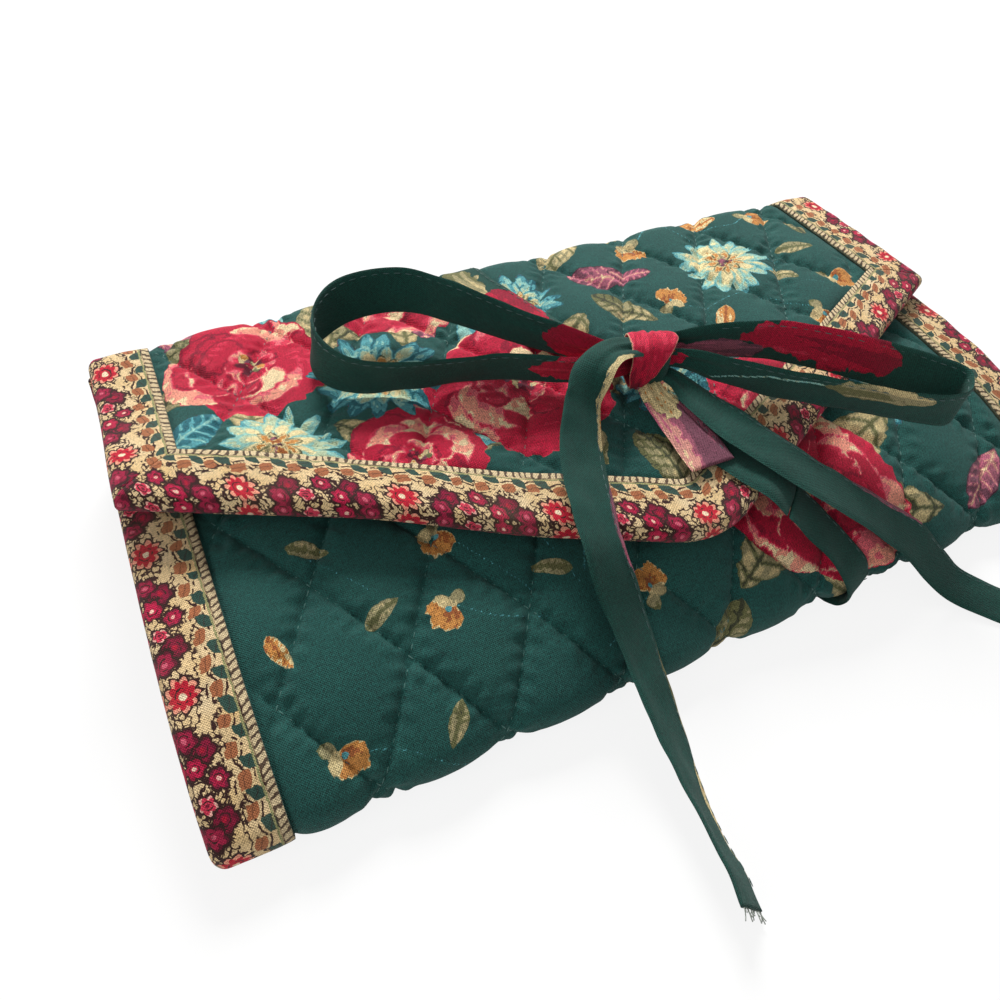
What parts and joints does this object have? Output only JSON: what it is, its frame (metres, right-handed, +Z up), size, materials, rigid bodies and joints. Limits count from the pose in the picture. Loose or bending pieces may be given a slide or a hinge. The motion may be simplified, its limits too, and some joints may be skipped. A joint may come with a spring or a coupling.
{
  "type": "jewelry pouch",
  "caption": "Quilted cotton pouch with a padded body, a pointed fold-over flap with printed bindings, an inner zip pocket and a cloth tie wrapped round it and tied in a bow.",
  "frame": {"origin": "centre of the pouch's flat underside, on the table", "axes": "+X along the pouch's length to the right as seen from the front fold, +Y towards the rear fold where the flap hinges, +Z up from the table"},
  "size_m": [0.254, 0.1882, 0.0577],
  "materials": {
    "cover": "printed quilted cotton, matt",
    "trim": "printed cotton border, matt",
    "tie": "printed cotton tie, matt",
    "batting": "cotton wadding",
    "lining": "plain cotton",
    "tape": "woven zip tape",
    "coil": "moulded coil teeth",
    "brass": "antiqued"
  },
  "bodies": {
    "pouch": {"body_cover": "cover", "body_batting": "batting", "body_lining": "lining", "side_binding_left": "trim", "side_binding_right": "trim", "mouth_binding": "trim", "tie_wrap_front": "tie", "tie_wrap_under": "tie", "tie_wrap_rear": "tie", "pocket_panel": "lining", "zip_tape_front": "tape", "zip_tape_rear": "tape", "zip_coil": "coil", "zip_stop_left": "brass", "zip_stop_right": "brass"},
    "slider": {"zip_slider": "brass"},
    "pull": {"zip_pull": "brass"},
    "flap": {"flap_cover": "cover", "flap_batting": "batting", "flap_lining": "lining", "flap_binding_side_left": "trim", "flap_binding_side_right": "trim", "flap_binding_slant_left": "trim", "flap_binding_slant_right": "trim", "tie_knot": "tie", "tie_rise": "tie", "tie_wrap_start": "tie", "tie_wrap_top": "tie", "bow_loop_left": "tie", "bow_loop_right": "tie", "tie_tail_left": "tie", "tie_tail_right": "tie"}
  },
  "joints": [
    {"name": "flap_fold", "type": "hinge", "parent": "pouch", "child": "flap", "pos_m": [0, 0.0691, 0.03015], "axis": [-1, 0, 0], "range_deg": [0, 150]},
    {"name": "zip_slide", "type": "slide", "parent": "pouch", "child": "slider", "axis": [1, 0, 0], "range_m": [0, 0.198]},
    {"name": "zip_pull_turn", "type": "hinge", "parent": "slider", "child": "pull", "pos_m": [-0.099, 0.049, 0.0101], "axis": [0, -1, 0], "range_deg": [0, 180]}
  ]
}
